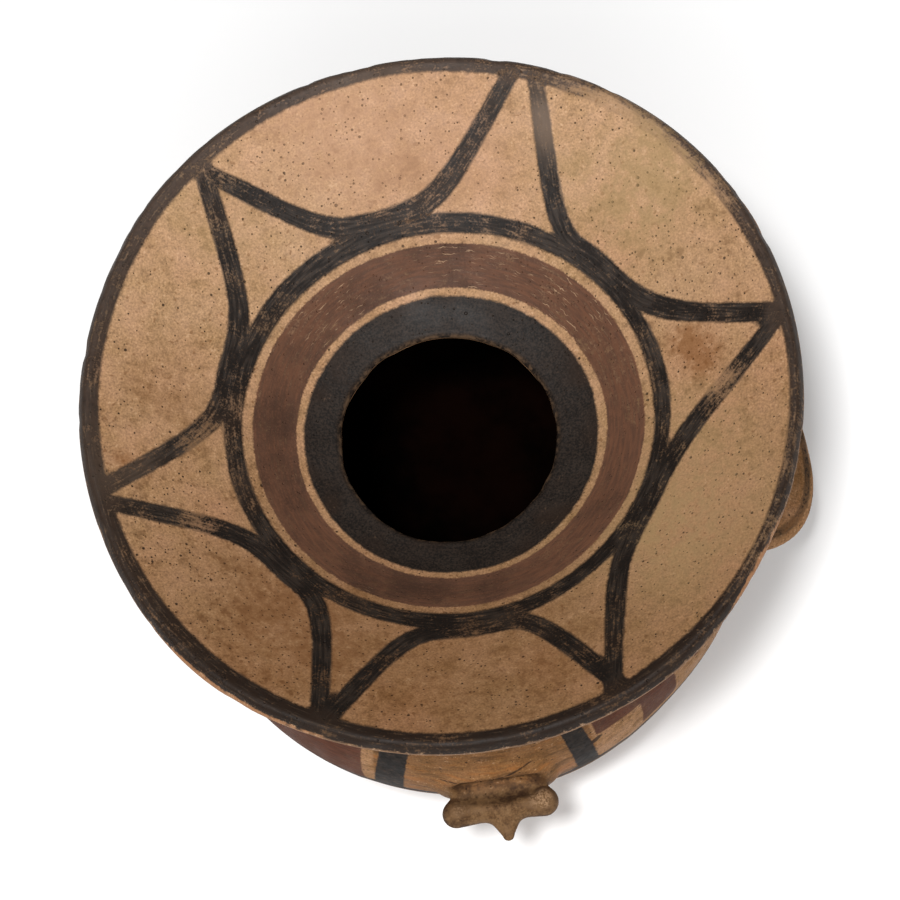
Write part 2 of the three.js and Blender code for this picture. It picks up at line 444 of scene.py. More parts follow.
def lug_pieces():
    """The four lugs, each with a skirt that melts into the body's wall."""
    reach = FIN_REACH + BODY_RADIUS + 3
    wide = FIN_WIDTH * FIN_BACK_SHARE / 2 + 14
    low, high = LUG_HEIGHT - 22, LUG_HEIGHT + 24
    right = fin_field(FIN_TURN, FIN_WIDTH + 6, FIN_REACH - 0.3, FIN_THICKNESS, FIN_BACK_SHARE, FIN_SQUARENESS)
    left = fin_field(math.pi - FIN_TURN, FIN_WIDTH - 4, FIN_REACH - 1, FIN_THICKNESS)
    tail = fin_field(math.pi / 2, TAIL_WIDTH, TAIL_REACH, TAIL_THICKNESS)
    parts = (
        ("head_lug", head_field, (-38, -152, LUG_HEIGHT - 28), (38, -112, LUG_HEIGHT + 36), HEAD_PITCH),
        ("right_fin", right, (104, -wide, low), (reach, wide, high), FIN_PITCH),
        ("left_fin", left, (-reach, -wide, low), (-104, wide, high), FIN_PITCH),
        ("tail", tail, (-36, 112, low), (36, reach, high), FIN_PITCH),
    )
    return [surface_net(name, rooted(field, low, high), low, high, pitch)
            for name, field, low, high, pitch in parts]


def fused(base, others):
    """One solid from the base and the others, joined by the boolean modifier and applied."""
    for other in others:
        union = base.modifiers.new("join", "BOOLEAN")
        union.operation = "UNION"
        union.solver = "MANIFOLD"
        union.object = other
    graph = bpy.context.evaluated_depsgraph_get()
    mesh = bpy.data.meshes.new_from_object(base.evaluated_get(graph))
    base.modifiers.clear()
    base.data = mesh
    for other in others:
        bpy.data.objects.remove(other)
    return base


def read_points(mesh):
    """The mesh's points in millimetres."""
    flat = np.empty(len(mesh.vertices) * 3, np.float32)
    mesh.vertices.foreach_get("co", flat)
    return flat.reshape(-1, 3).astype(float) / MM


def write_points(mesh, points):
    """Puts points in millimetres back into the mesh."""
    mesh.vertices.foreach_set("co", (points * MM).astype(np.float32).ravel())
    mesh.update()


def relax(mesh, points, weight, rounds):
    """Moves each point towards the mean of its neighbours by its own weight, round after round."""
    pairs = np.empty(len(mesh.edges) * 2, np.int32)
    mesh.edges.foreach_get("vertices", pairs)
    a, b = pairs.reshape(-1, 2).T
    count = np.bincount(a, minlength=len(points)) + np.bincount(b, minlength=len(points))
    for _ in range(rounds):
        total = np.stack([
            np.bincount(a, points[b, k], len(points)) + np.bincount(b, points[a, k], len(points))
            for k in range(3)], 1)
        points = points + weight[:, None] * (total / count[:, None] - points)
    return points


def seam_weight(points):
    """Near 1 on the seams where the lugs' skirts meet the body, 0 elsewhere."""
    around = np.arctan2(points[:, 1], points[:, 0])
    quarter = np.abs((around + math.pi / 4) % (math.pi / 2) - math.pi / 4)
    near_lug = (quarter < 0.5) & (np.abs(points[:, 2] - LUG_HEIGHT) < 40)
    return 0.5 * np.exp(-(to_globe(points) / 0.8) ** 2) * near_lug


# Flatter places of the hand-built form: direction and half width in degrees, and millimetres inwards
FLATTER_RIM = ((-37, 15, 2.2), (157, 16, 1.4), (-135, 14, -1.0))
FLATTER_BODY = (-50, 16, 2.2)


def bump(angle, towards, half_turn):
    """One at the direction towards, falling to nothing in a bell shape, whichever way round."""
    apart = (np.degrees(angle) - towards + 180) % 360 - 180
    return np.exp(-((apart / half_turn) ** 2))


def hand_built(points):
    """Unevenness of a jar built by hand. The lip is a little narrower across X than across Y,
    dips and swells by a millimetre, and its edge is worn and chipped, all as sums of cosines of
    the angle and of smooth noise."""
    x, y, z = points.T
    radius = np.hypot(x, y)
    angle = np.arctan2(y, x)
    rim_share = smooth_step(THROAT_HEIGHT - 4, LIP_HEIGHT, z)
    body_share = 1 - smooth_step(THROAT_HEIGHT - 30, THROAT_HEIGHT, z)
    inward = (1.6 + 0.58 * np.cos(angle + 0.98) + 1.62 * np.cos(2 * angle - 0.08)
              + 0.39 * np.cos(3 * angle + 0.92) + 0.65 * np.cos(4 * angle) + 0.12 * np.cos(7 * angle + 2))
    for towards, half_turn, amount in FLATTER_RIM:
        inward += amount * bump(angle, towards, half_turn)
    squeeze = rim_share * inward / LIP_RADIUS
    squeeze += (1 - rim_share) * FLATTER_BODY[2] * bump(angle, *FLATTER_BODY[:2]) / BODY_RADIUS
    squeeze = squeeze + body_share * 0.002 * (1 + np.cos(2 * angle + 1.2)) * (radius < BODY_RADIUS + 1)
    dip = rim_share**2 * (0.45 + 0.5 * (1 + np.cos(2 * angle + 0.5)) + 0.35 * (1 + np.cos(5 * angle + 1.1)))
    moved = points * np.stack([1 - squeeze, 1 - squeeze, np.ones_like(z)], 1)
    moved[:, 2] -= dip
    lift = 0.22 * value_noise(points, 26, 3) + 0.1 * value_noise(points, 9, 4)
    lip = smooth_step(LIP_RADIUS - 5.5, LIP_RADIUS - 1, radius) * (z > WIDEST + SHOULDER_RISE)
    chips = smooth_step(0.2, 0.8, value_noise(points, 5, 5)) * 0.35
    chips = chips + smooth_step(0.5, 0.9, value_noise(points, 13, 6)) * 0.5
    outward = np.stack([x / radius.clip(1e-6), y / radius.clip(1e-6), np.full_like(z, 0.5)], 1)
    moved -= outward * (lip * chips)[:, None]
    throat = np.exp(-((radius - THROAT_RADIUS) / 2.5) ** 2) * (np.abs(z - THROAT_HEIGHT) < 5)
    ragged = 0.5 * value_noise(points, 6, 7) + 0.5 * value_noise(points, 17, 8)
    moved[:, :2] += (points[:, :2] / radius.clip(1e-6)[:, None]) * (throat * ragged)[:, None]
    foot = smooth_step(0, 6, z)
    free = foot * (radius < BODY_RADIUS - 1) * (radius > 3)
    moved[:, 2] += lift * free
    return moved


def ring_edge(angle, mean, across, double, wobble, seed):
    """Radius of a hand-painted ring's edge: its mean, moved off centre towards +X by across,
    squeezed by double, with a fine wobble of the brush."""
    fine = value_noise(np.stack([np.cos(angle) * 3, np.sin(angle) * 3, angle * 0 + seed], 1), 0.55, seed)
    broad = value_noise(np.stack([np.cos(angle), np.sin(angle), angle * 0 + seed], 1), 0.7, seed + 20)
    return mean + across * np.cos(angle) + double * np.cos(2 * angle) + wobble * (0.5 * fine + broad)


def stroke_path(touch, run_before, run_after, turn_before, turn_after, steps=72):
    """Plan points of a star stroke: at angle a from the touching place, radius = nearest +
    (farthest - nearest) * (a / run)^turn on each side."""
    share = np.linspace(-1.02, 1.02, steps)
    forward = share > 0
    angle = np.radians(touch + share * np.where(forward, run_before, run_after))
    rise = np.abs(share) ** np.where(forward, turn_before, turn_after)
    radius = STROKE_NEAREST + (STROKE_FARTHEST - STROKE_NEAREST) * rise
    return np.stack([radius * np.cos(angle), radius * np.sin(angle)], 1)


def nearest_on_path(points, path):
    """Distance, side-signed distance and length along, from each plan point to a path."""
    best = np.full(len(points), 1e9)
    signed, along = np.zeros(len(points)), np.zeros(len(points))
    lengths = np.hypot(*np.diff(path, axis=0).T)
    travelled = np.r_[0, np.cumsum(lengths)]
    for i, length in enumerate(lengths):
        way = (path[i + 1] - path[i]) / length
        offset = points - path[i]
        t = np.clip(offset @ way, 0, length)
        gap = offset - t[:, None] * way
        distance = np.hypot(*gap.T)
        nearer = distance < best
        best = np.where(nearer, distance, best)
        side = np.sign(way[0] * offset[:, 1] - way[1] * offset[:, 0])
        signed = np.where(nearer, side * distance, signed)
        along = np.where(nearer, travelled[i] + t, along)
    return best, signed, along, travelled[-1]


def over(paint, distance, along, across):
    """Lays one more stroke over the paint kept so far, where it lies deeper inside its edge."""
    deeper = distance > paint["distance"]
    for name, value in (("distance", distance), ("along", along), ("across", across)):
        paint[name] = np.where(deeper, value, paint[name])


def funnel_paint(points):
    """Distances in millimetres into the black and brown paint of the funnel, positive inside,
    with the brush's length along and place across."""
    x, y = points[:, 0], points[:, 1]
    radius, angle = np.hypot(x, y), np.arctan2(y, x)
    paint = {name: np.full(len(points), -99.0) for name in ("distance", "along", "across")}
    arc = angle * radius
    rim = radius - ring_edge(angle, RIM_BAND_INNER, 0.4, -1.4, 0.9, 31)
    over(paint, rim, arc, radius)
    inner = ring_edge(angle, BLACK_RING_INNER, 1.3, 0.8, 0.5, 32)
    outer = ring_edge(angle, BLACK_RING_OUTER, 0.6, 0.4, 0.7, 33)
    over(paint, np.minimum(radius - inner, outer - radius), arc, radius)
    throat = ring_edge(angle, THROAT_BAND_EDGE, 1.3, -0.1, 0.5, 34) - radius
    over(paint, throat, arc, radius)
    for number, stroke in enumerate(STAR_STROKES):
        gap, side, along, length = nearest_on_path(points[:, :2], stroke_path(*stroke))
        middle = 1 - np.abs(2 * along / length - 1)
        sway = value_noise(np.stack([along, along * 0 + 9 * number, along * 0], 1), 14, 40 + number)
        half = STROKE_WIDTH / 2 * (0.8 + 0.25 * np.sqrt(middle)) + 0.35 * sway
        over(paint, half - gap, along + 400 * number, side)
    brown_in = ring_edge(angle, BROWN_BAND_INNER, 1.5, 0.3, 0.5, 35)
    brown_out = ring_edge(angle, BROWN_BAND_OUTER, 1.0, 0.7, 0.6, 36)
    brown = np.minimum(radius - brown_in, brown_out - radius)
    return paint, brown


# Paint on the body, as degrees from the head lug (positive towards +X) and heights
PAINT_FLOOR = 96.5
PAINT_CEILING = 176.0
FRAME_LINE = 7.5
LEFT_BAR = (-24.4, -18.4)
RIGHT_BAR = (16.1, 20.8)
BAR_LEAN = 0.05
TAIL_BARS = ((-25.0, -18.5), (18.5, 25.0))


def patch(across, height, box):
    """Distance into a painted rectangle, positive inside: box is left, right, bottom, top."""
    left, right, bottom, top = box
    return np.minimum(np.minimum(across - left, right - across), np.minimum(height - bottom, top - height))


def body_paint(points):
    """Distances in millimetres into the black, red and cream paint of the body."""
    x, y, z = points.T
    degree = BODY_RADIUS * math.pi / 180
    front = np.degrees(np.arctan2(x, -y))
    back = (front + 360) % 360 - 180
    sway = 0.7 * value_noise(points, 21, 51)
    wide = degree * np.ones_like(front)
    u, b = front * wide + sway, back * wide + sway
    v = z + 0.6 * value_noise(points, 17, 52)

    def boxes(place, rows):
        return np.max([patch(place, v, (r[0] * degree, r[1] * degree, r[2], r[3])) for r in rows], axis=0)

    lean = (WIDEST - v) * BAR_LEAN * degree * np.sign(u)
    black = np.maximum(FRAME_LINE / 2 - np.abs(v - PAINT_FLOOR), FRAME_LINE / 2 - np.abs(v - PAINT_CEILING))
    black = np.maximum(black, boxes(u - lean, [(*LEFT_BAR, PAINT_FLOOR, PAINT_CEILING),
                                               (*RIGHT_BAR, PAINT_FLOOR, PAINT_CEILING)]))
    black = np.maximum(black, boxes(b, [(*bar, PAINT_FLOOR, PAINT_CEILING) for bar in TAIL_BARS]))
    right_side = [(21.4, 42, 130.5, 152), (32.5, 42, 106, 140), (48, 70, 150, 172), (48, 56, 120, 160)]
    left_side = [(-50, -27, 96, 160), (-44, -36, 110, 146), (-72, -60, 128, 172)]
    red = np.maximum(boxes(u, right_side), boxes(u, left_side))
    back_side = [(29, 60, 132, 150), (50, 60, 104, 140), (66, 82, 150, 172)]
    red = np.maximum(red, np.maximum(boxes(b, back_side), boxes(-b, back_side)))
    zone = np.minimum(v - PAINT_FLOOR, PAINT_CEILING - v)
    chip = 2.3 - np.hypot((u - 21.0 * degree) / 1.7, v - 127 - 0.3 * (u - 21.0 * degree))
    cream_front = np.maximum(u - RIGHT_BAR[1] * degree, LEFT_BAR[0] * degree - u)
    cream_back = np.maximum(b - TAIL_BARS[1][1] * degree, TAIL_BARS[0][0] * degree - b)
    cream = np.minimum(zone, np.minimum(cream_front, cream_back))
    line = -0.55 + np.exp(-((front + 1) / 14) ** 8) - np.abs(z - 129 - 0.42 * front) * 0.9
    return {"black": black, "red": red, "cream": cream, "crack": np.maximum(line, 0.6 * chip)}


def fin_stripe(points):
    """Distance into the black stripe along the upper edge of the side lugs: a band of the
    ellipse (out, side) of the ledge just inside its outline."""
    x, y, z = points.T
    root = BODY_RADIUS - WALL / 2
    out, side = np.abs(x) - root + 0.05 * y, y - 6
    share = (np.abs(out / (FIN_REACH + WALL / 2)) ** FIN_SQUARENESS
             + np.abs(side / (FIN_WIDTH / 2 + 3)) ** FIN_SQUARENESS) ** (1 / FIN_SQUARENESS)
    stripe = 0.04 - np.abs(share - 0.93 - 0.0016 * side)
    above = z - (LUG_HEIGHT - (np.abs(x) - root) * 0.06)
    return np.minimum(stripe * 30, above) - 99.0 * (np.abs(x) < BODY_RADIUS + 1)


def place_spots(points, spots):
    """Sum of soft round spots: each is x, y, radius and strength on the funnel's plan."""
    total = np.zeros(len(points))
    for x, y, size, strength in spots:
        total += strength * np.exp(-((points[:, 0] - x) ** 2 + (points[:, 1] - y) ** 2) / size**2)
    return total


def paint_vessel(mesh, points, moved):
    """Writes the paint's distances and the brush's coordinates on the mesh, and sorts its faces
    into the funnel's, the body's and the inside's materials. The form's own zones go by the
    even points, and the paint by the moved ones."""
    x, y, z = points.T
    radius, angle = np.hypot(x, y), np.arctan2(y, x)
    slope = (FUNNEL[-1, 1] - FUNNEL[-8, 1]) / (FUNNEL[-1, 0] - FUNNEL[-8, 0])
    beyond = np.clip(radius - FUNNEL[-1, 0], 0, None)
    depth = (funnel_height(radius) + slope * beyond - z) / math.hypot(1, slope)
    on_funnel = (depth < RIM_WALL * 0.8) & (z > THROAT_UNDERSIDE + 1) & (radius > THROAT_RADIUS - 2)
    on_funnel &= (depth < RIM_WALL * 0.4) | (radius > LIP_RADIUS - RIM_WALL)
    inside = (to_globe(points, WALL / 2) < 0) & ~on_funnel & (z > FOOT_WALL / 2)
    paint, brown = funnel_paint(moved)
    body = body_paint(points)
    body_black = np.maximum(body["black"], fin_stripe(points))
    on_lip = (radius > LIP_RADIUS - 1.5 * RIM_WALL) & (z > LIP_HEIGHT - 14)
    marks = {name: place_spots(points, spots) for name, spots in MARKS.items()}
    bared = np.clip(marks["bared"], 0, 1)
    faint = 1 - 0.5 * smooth_step(LIP_RADIUS - 6, LIP_RADIUS - 2.5, radius)
    outward = radius - BODY_RADIUS
    lug_level = np.abs(z - LUG_HEIGHT) < 30
    fins = (np.abs(x) > BODY_RADIUS + 2) & (z < LUG_HEIGHT + 30)
    # Smoke on the head bar's ends, and painted shade in the hollow behind the bar and under the lugs
    hollow = np.exp(-np.clip(to_ellipsoid(points, HOLLOW_CENTRE, HOLLOW_RADII), 0, None) / 1.2)
    bar = smooth_step(11, 19, np.abs(x)) * (y < -(BODY_RADIUS + 4)) * lug_level
    under = smooth_step(2, 8, outward) * smooth_step(2, -6, z - LUG_HEIGHT)
    under += 1.2 * smooth_step(6.5, 1, z - LUG_HEIGHT) * (y < -(BODY_RADIUS + 3)) * lug_level
    # Painted highlight on the tops of the head bar's round ends
    ends = np.exp(-((np.abs(x - 1) - 17.5) / 6) ** 2) * smooth_step(4.0, 6.2, z - LUG_HEIGHT - 4)
    cloud = 0.65 * value_noise(points, 34, 11) + 0.45 * value_noise(points, 14, 12)
    marks |= {
        "black": np.where(on_funnel, paint["distance"], body_black),
        "along": np.where(on_funnel, paint["along"], angle * radius) * MM,
        "across": np.where(on_funnel, paint["across"], z) * MM,
        "brown": brown,
        "red": body["red"],
        "cream": np.where(fins, 2.0, body["cream"]),
        "crack": body["crack"],
        "smooth": 1 - smooth_step(THROAT_BAND_EDGE, BROWN_BAND_OUTER, radius),
        "umber": smooth_step(RIM_BAND_INNER - 3, RIM_BAND_INNER + 1, radius),
        "lip": smooth_step(0, 3.2, depth - 3.6 + 2.0 * bared) * on_lip,
        "bared": bared * on_lip,
        # painted highlight along the throat's rounded edge
        "edge": np.exp(-((radius - THROAT_RADIUS - 0.3) / 0.7) ** 2) * (z > THROAT_UNDERSIDE - 3),
        "lug": smooth_step(0.5, 5, outward) * lug_level * (y < -100),
        # smoke on the bar's ends, painted shade in the hollow and under the lugs
        "smoke_and_shade": np.clip(1.1 * hollow + 0.45 * bar + 0.5 * under, 0, 1),
        # painted highlight on the bar's ends
        "bar_end_highlight": ends * (y < -(BODY_RADIUS + 4)) * lug_level,
        "scuffed": smooth_step(0.5, 4, outward),
        "cloud": np.clip(0.5 + 0.7 * cloud, 0, 1),
        "patches": 0.7 * value_noise(points, 8.5, 13) + 0.6 * value_noise(points, 19, 14),
        "fade": np.clip(marks["fade"], 0, 1) * faint,
        "rubbed": marks["rubbed"] * faint,
    }
    for name, values in marks.items():
        layer = mesh.attributes.new(name, "FLOAT", "POINT")
        layer.data.foreach_set("value", np.asarray(values, np.float32))
    kind = np.where(inside, 2, np.where(on_funnel, 0, 1))
    starts = np.empty(len(mesh.polygons), np.int32)
    totals = np.empty(len(mesh.polygons), np.int32)
    corners = np.empty(len(mesh.loops), np.int32)
    mesh.polygons.foreach_get("loop_start", starts)
    mesh.polygons.foreach_get("loop_total", totals)
    mesh.loops.foreach_get("vertex_index", corners)
    mesh.polygons.foreach_set("material_index", np.minimum.reduceat(kind[corners], starts).astype(np.int32))
    mesh.polygons.foreach_set("use_smooth", np.ones(len(starts), bool))
    mesh.update()


# Marks on the funnel: x, y, radius and strength of each soft spot
MARKS = {
    "fade": ((56, 119, 8, 0.95), (58, 109, 7, 0.7), (-16, 142, 22, 0.3), (-133, -12, 14, 0.4)),
    "rubbed": (
        (118, -80, 22, 0.35), (140, -30, 24, 0.4), (70, 130, 9, 0.3), (81, 122, 14, 0.65),
        (92, 112, 13, 1.0), (104, 100, 12, 0.85), (113, 86, 12, 0.7), (118, 72, 9, 0.5),
        (114, -4, 8, 0.85), (-104, 1, 9, 0.6), (-106, -36, 8, 0.6), (120, 66, 16, 0.3),
        (137, -52, 14, 0.35), (-77, 116, 10, 0.35)),
    "rust": (
        (109, 11, 8, 1.5), (103, 17, 7, 1.0), (109, 4, 5, 0.8), (-133.3, -8.9, 4.5, 1.1),
        (-70, -95, 30, 0.5), (-2, 106, 14, 0.2), (-118, 20, 12, 0.3), (30, -112, 20, 0.35),
        (-20, -122, 22, 0.35)),
    "green": (
        (97, 84, 42, 0.4), (98, -62, 38, 0.55), (104, -20, 26, 0.35), (92, 78, 20, 0.7),
        (102, 92, 16, 0.6), (-83, 90, 22, 0.4), (76, -66, 26, 0.45), (60, 96, 14, 0.4)),
    "pink": (
        (-32, 126, 34, 0.8), (-10, 120, 40, 0.4), (110, 40, 26, 0.3), (25, 108, 24, 0.5),
        (100, -60, 26, 0.3)),
    "pitting": (
        (-30, 118, 36, 0.8), (105, 62, 44, 1.0), (108, -52, 44, 0.6), (-120, -30, 30, 0.5),
        (-95, -80, 36, 1.0), (-60, -108, 26, 0.9), (15, -118, 30, 0.4), (112, 10, 18, 0.8)),
    "bared": ((-108, -106, 24, 0.9), (-76, -130, 18, 0.5), (122, -92, 20, 1.0), (138, 62, 26, 0.5)),
    "scratched": (
        (-35, 62, 16, 0.9), (-52, 50, 16, 0.9), (10, 73, 16, 0.8), (30, 66, 16, 0.9),
        (52, 52, 18, 1.0), (66, 36, 16, 1.0), (-66, -10, 16, 0.5), (-40, -60, 18, 0.5),
        (60, -40, 16, 0.3)),
    "grime": (
        (-79, -80, 24, 0.8), (-55, -92, 22, 0.8), (-86, -52, 22, 0.5), (10, -112, 36, 0.4),
        (44, -96, 24, 0.3), (-112, 30, 16, 0.3), (-106, 8, 14, 0.3)),
}


def place(tree, kind, settings=None, inputs=None):
    """Adds a node, sets its properties, and sets or links its inputs by name or number."""
    node = tree.nodes.new(kind)
    for name, value in (settings or {}).items():
        setattr(node, name, value)
    for name, value in (inputs or {}).items():
        if isinstance(value, Signal):
            tree.links.new(value.socket, node.inputs[name])
        else:
            node.inputs[name].default_value = value
    return node


class Signal:
    """What a node gives: a number, a colour or a place. Arithmetic with it, and each method
    here, adds one more node to the same tree."""

    def __init__(self, socket):
        self.socket = socket

    def into(self, kind, settings, inputs, output=0):
        """A further node, and what it gives."""
        return Signal(place(self.socket.id_data, kind, settings, inputs).outputs[output])

    def maths(self, operation, *values):
        return self.into("ShaderNodeMath", {"operation": operation}, dict(enumerate(values)))

    def __add__(self, other):
        return self.maths("ADD", self, other)

    def __mul__(self, other):
        return self.maths("MULTIPLY", self, other)

    def __sub__(self, other):
        return self.maths("SUBTRACT", self, other)

    def __rsub__(self, other):
        return self.maths("SUBTRACT", other, self)

    def __truediv__(self, other):
        return self.maths("DIVIDE", self, other)

    __radd__, __rmul__ = __add__, __mul__

    def larger(self, other):
        return self.maths("MAXIMUM", self, other)

    def clamped(self):
        """This number kept from 0 to 1."""
        return self.into("ShaderNodeClamp", None, {0: self})

    def spread(self, low, high, start=0.0, end=1.0):
        """Maps the number from low..high to start..end with smooth ends."""
        return self.into("ShaderNodeMapRange", {"interpolation_type": "SMOOTHSTEP"},
                         {0: self, 1: low, 2: high, 3: start, 4: end})

    def between(self, first, second):
        """The colour that lies this share, from 0 to 1, of the way from first to second."""
        return self.into("ShaderNodeMix", {"data_type": "RGBA"}, {0: self, 6: first, 7: second}, 2)

    def shaded(self, tone):
        """This colour multiplied by another."""
        return self.into("ShaderNodeMix", {"data_type": "RGBA", "blend_type": "MULTIPLY"},
                         {0: 1.0, 6: self, 7: tone}, 2)

    def noise(self, scale, detail=2.0, rough=0.5):
        """Noise from 0 to 1 at this place."""
        return self.into("ShaderNodeTexNoise", None,
                         {"Vector": self, "Scale": scale, "Detail": detail, "Roughness": rough})

    def crossed(self, other, scale, other_scale):
        """The place whose X and Y are this number and another, each scaled."""
        return self.into("ShaderNodeCombineXYZ", None, {0: self * scale, 1: other * other_scale})


def signals(outputs):
    """What a node gives, by name."""
    return {output.name: Signal(output) for output in outputs}


def new_group(name, inputs):
    """A shader node group, with number, colour or vector inputs by the kind of their values."""
    tree = bpy.data.node_groups.new(name, "ShaderNodeTree")
    kinds = {float: "NodeSocketFloat", tuple: "NodeSocketColor", type(None): "NodeSocketVector"}
    for title, value in inputs.items():
        socket = tree.interface.new_socket(title, in_out="INPUT", socket_type=kinds[type(value)])
        if value is not None:
            socket.default_value = value
    return tree, signals(tree.nodes.new("NodeGroupInput").outputs)


def end_group(tree, results):
    """Gives the group its named outputs."""
    kinds = {"VALUE": "NodeSocketFloat", "RGBA": "NodeSocketColor"}
    for title, result in results.items():
        tree.interface.new_socket(title, in_out="OUTPUT", socket_type=kinds[result.socket.type])
    place(tree, "NodeGroupOutput", None, results)
    return tree


def brushed_paint_group():
    """How much a painted stroke covers the clay. Its edge wanders around distance 0 by the fine
    noises, and it is rubbed thin where the rub, the noises and the bristles add up."""
    tree, given = new_group("brushed paint", {
        "Distance": 0.0, "Grain": 0.5, "Specks": 0.5, "Bristles": 0.5, "Patches": 0.0, "Rub": 0.3,
        "Softness": 0.5})
    grain, specks, bristles = (given[name] - 0.5 for name in ("Grain", "Specks", "Bristles"))
    edge = given["Distance"] + specks + 0.6 * grain
    inside = edge.spread(given["Softness"] * -1.0, given["Softness"])
    wear = given["Rub"] + specks + 1.1 * grain + 0.9 * bristles + 0.22 * given["Patches"]
    thin = wear.spread(0.15, 1.15)
    return end_group(tree, {"Cover": inside * (1.0 - 0.85 * thin), "Thin": thin})


def fired_clay_group():
    """Slipped clay: two colours that drift into each other, mottling, brown smudges, pale flecks
    and dark pits, and the height of the surface."""
    tree, given = new_group("fired clay", {
        "Place": None, "Main": (0.5, 0.33, 0.2, 1), "Second": (0.5, 0.33, 0.2, 1), "Cloud": 0.5,
        "Mottle": 0.5, "Specks": 0.5, "Grain": 0.5, "Pitting": 0.5})
    mottle, specks, grain, pitting = (given[name] for name in ("Mottle", "Specks", "Grain", "Pitting"))
    colour = given["Cloud"].between(given["Main"], given["Second"])
    tone = 2.125 - 0.55 * mottle - 0.5 * specks - 1.2 * grain
    warm = tone - 0.35 * (mottle - 0.5)
    colour = colour.shaded(tone.into("ShaderNodeCombineColor", None, {0: tone, 1: tone, 2: warm}))
    smudge = (0.45 * mottle + 0.55 * specks).spread(0.54, 0.66) * (0.45 * pitting + 0.2)
    colour = smudge.between(colour, SMUDGE)
    colour = (specks + grain).spread(0.62, 0.78, 0.4, 0.0).between(colour, FLECK)
    colour = given["Place"].noise(520.0, 0.0).spread(0.72, 0.8, 0.0, 0.6).between(colour, DOT)
    pits = []
    for scale, size, rarity in ((760.0, 0.42, 0.87), (360.0, 0.3, 0.872)):
        cells = signals(place(tree, "ShaderNodeTexVoronoi", {"feature": "F1"},
                              {"Vector": given["Place"], "Scale": scale, "Randomness": 1.0}).outputs)
        chance = place(tree, "ShaderNodeSeparateColor", None, {0: cells["Color"]}).outputs
        chosen = (Signal(chance[0]) - (rarity - 0.2 * pitting)).spread(0.0, 0.05)
        width = Signal(chance[1]) * (size * 0.8) + size * 0.2
        pits.append((cells["Distance"] / width).spread(0.45, 1.0, 1.0, 0.0) * chosen)
    pits = pits[0].larger(pits[1])
    colour = (0.92 * pits).between(colour, PIT)
    return end_group(tree, {"Colour": colour, "Height": 0.6 * specks - pits})


def surface_noise_group():
    """The noises that every painted surface shares: broad mottling, specks, fine grain, bristle
    marks along the brush's way, and thin wandering scratches along it."""
    tree, given = new_group("surface noise", {"Place": None, "Along": 0.0, "Across": 0.0})
    where, along, across = given["Place"], given["Along"], given["Across"]
    specks = where.noise(310.0, 2.0, 0.6)
    return end_group(tree, {
        "Mottle": where.noise(85.0, 2.0, 0.55), "Specks": specks, "Grain": where.noise(1150.0, 1.0, 0.6),
        "Bristles": along.crossed(across, 110.0, 950.0).noise(1.0, 1.0, 0.6),
        "Scratches": along.crossed(across + specks * (5.0 / 2300), 160.0, 2300.0).noise(1.0, 0.0)})


# Colours of the clay, the paints and the wear, and of the painted shade and highlights
BUFF_SLIP = (0.365, 0.222, 0.118, 1)
WARM_SLIP = (0.365, 0.203, 0.108, 1)
SMUDGE = (0.12, 0.052, 0.018, 1)
FLECK = (0.5, 0.36, 0.24, 1)
DOT = (0.17, 0.078, 0.03, 1)
PIT = (0.016, 0.009, 0.005, 1)
STAINS = {
    "pink": (0.4, 0.225, 0.134, 1), "green": (0.29, 0.19, 0.088, 1),
    "rust": (0.15, 0.052, 0.011, 1), "grime": (0.15, 0.066, 0.025, 1),
}
# Tones for the funnel, darker towards the front
BACK_TONE = (1.0, 1.0, 1.0, 1)
FRONT_TONE = (0.56, 0.5, 0.42, 1)
SOOT = (0.008, 0.006, 0.005, 1)
SLATE = (0.037, 0.0285, 0.0235, 1)
UMBER = (0.026, 0.0145, 0.009, 1)
RIM_BROWN = (0.062, 0.04, 0.029, 1)
FADED_PAINT = (0.118, 0.08, 0.056, 1)
BROWN_BAND = (0.116, 0.051, 0.028, 1), (0.078, 0.037, 0.0225, 1)
DULL_BROWN = (0.034, 0.017, 0.011, 1)
SCRATCH = (0.33, 0.21, 0.125, 1)
WORN_LIP = (0.15, 0.078, 0.038, 1)
BARE_CLAY = (0.34, 0.16, 0.07, 1)
# Pale lip: wear and painted glint
LIP_WEAR_AND_GLINT = (0.42, 0.27, 0.16, 1)
# Painted highlight on the throat's edge
THROAT_EDGE_HIGHLIGHT = (0.16, 0.095, 0.052, 1)
OCHRE = (0.22, 0.105, 0.036, 1), (0.155, 0.064, 0.02, 1)
OCHRE_CLOUD = (0.18, 0.09, 0.036, 1)
CREAM = (0.31, 0.168, 0.08, 1), (0.25, 0.125, 0.052, 1)
GLOW = (0.29, 0.105, 0.024, 1)
DIRT = (0.085, 0.04, 0.014, 1)
FRET_RED = (0.1, 0.032, 0.015, 1), (0.058, 0.021, 0.011, 1)
HANDLED_CLAY = (0.135, 0.078, 0.036, 1), (0.052, 0.026, 0.011, 1)
# Smoke and painted shade on the lugs
SMOKE_AND_SHADE = (0.028, 0.014, 0.008, 1)
# Painted highlight on the head bar's ends
BAR_END_HIGHLIGHT = (0.36, 0.22, 0.12, 1)
CRACK = (0.02, 0.009, 0.005, 1)
PALE_STREAK = (0.3, 0.175, 0.09, 1)
# Painted shade: the near-black inside
INSIDE_SHADE = (0.0009, 0.0006, 0.0005, 1), (0.004, 0.0014, 0.0009, 1)

NOISES, BRUSHED, CLAY = surface_noise_group(), brushed_paint_group(), fired_clay_group()


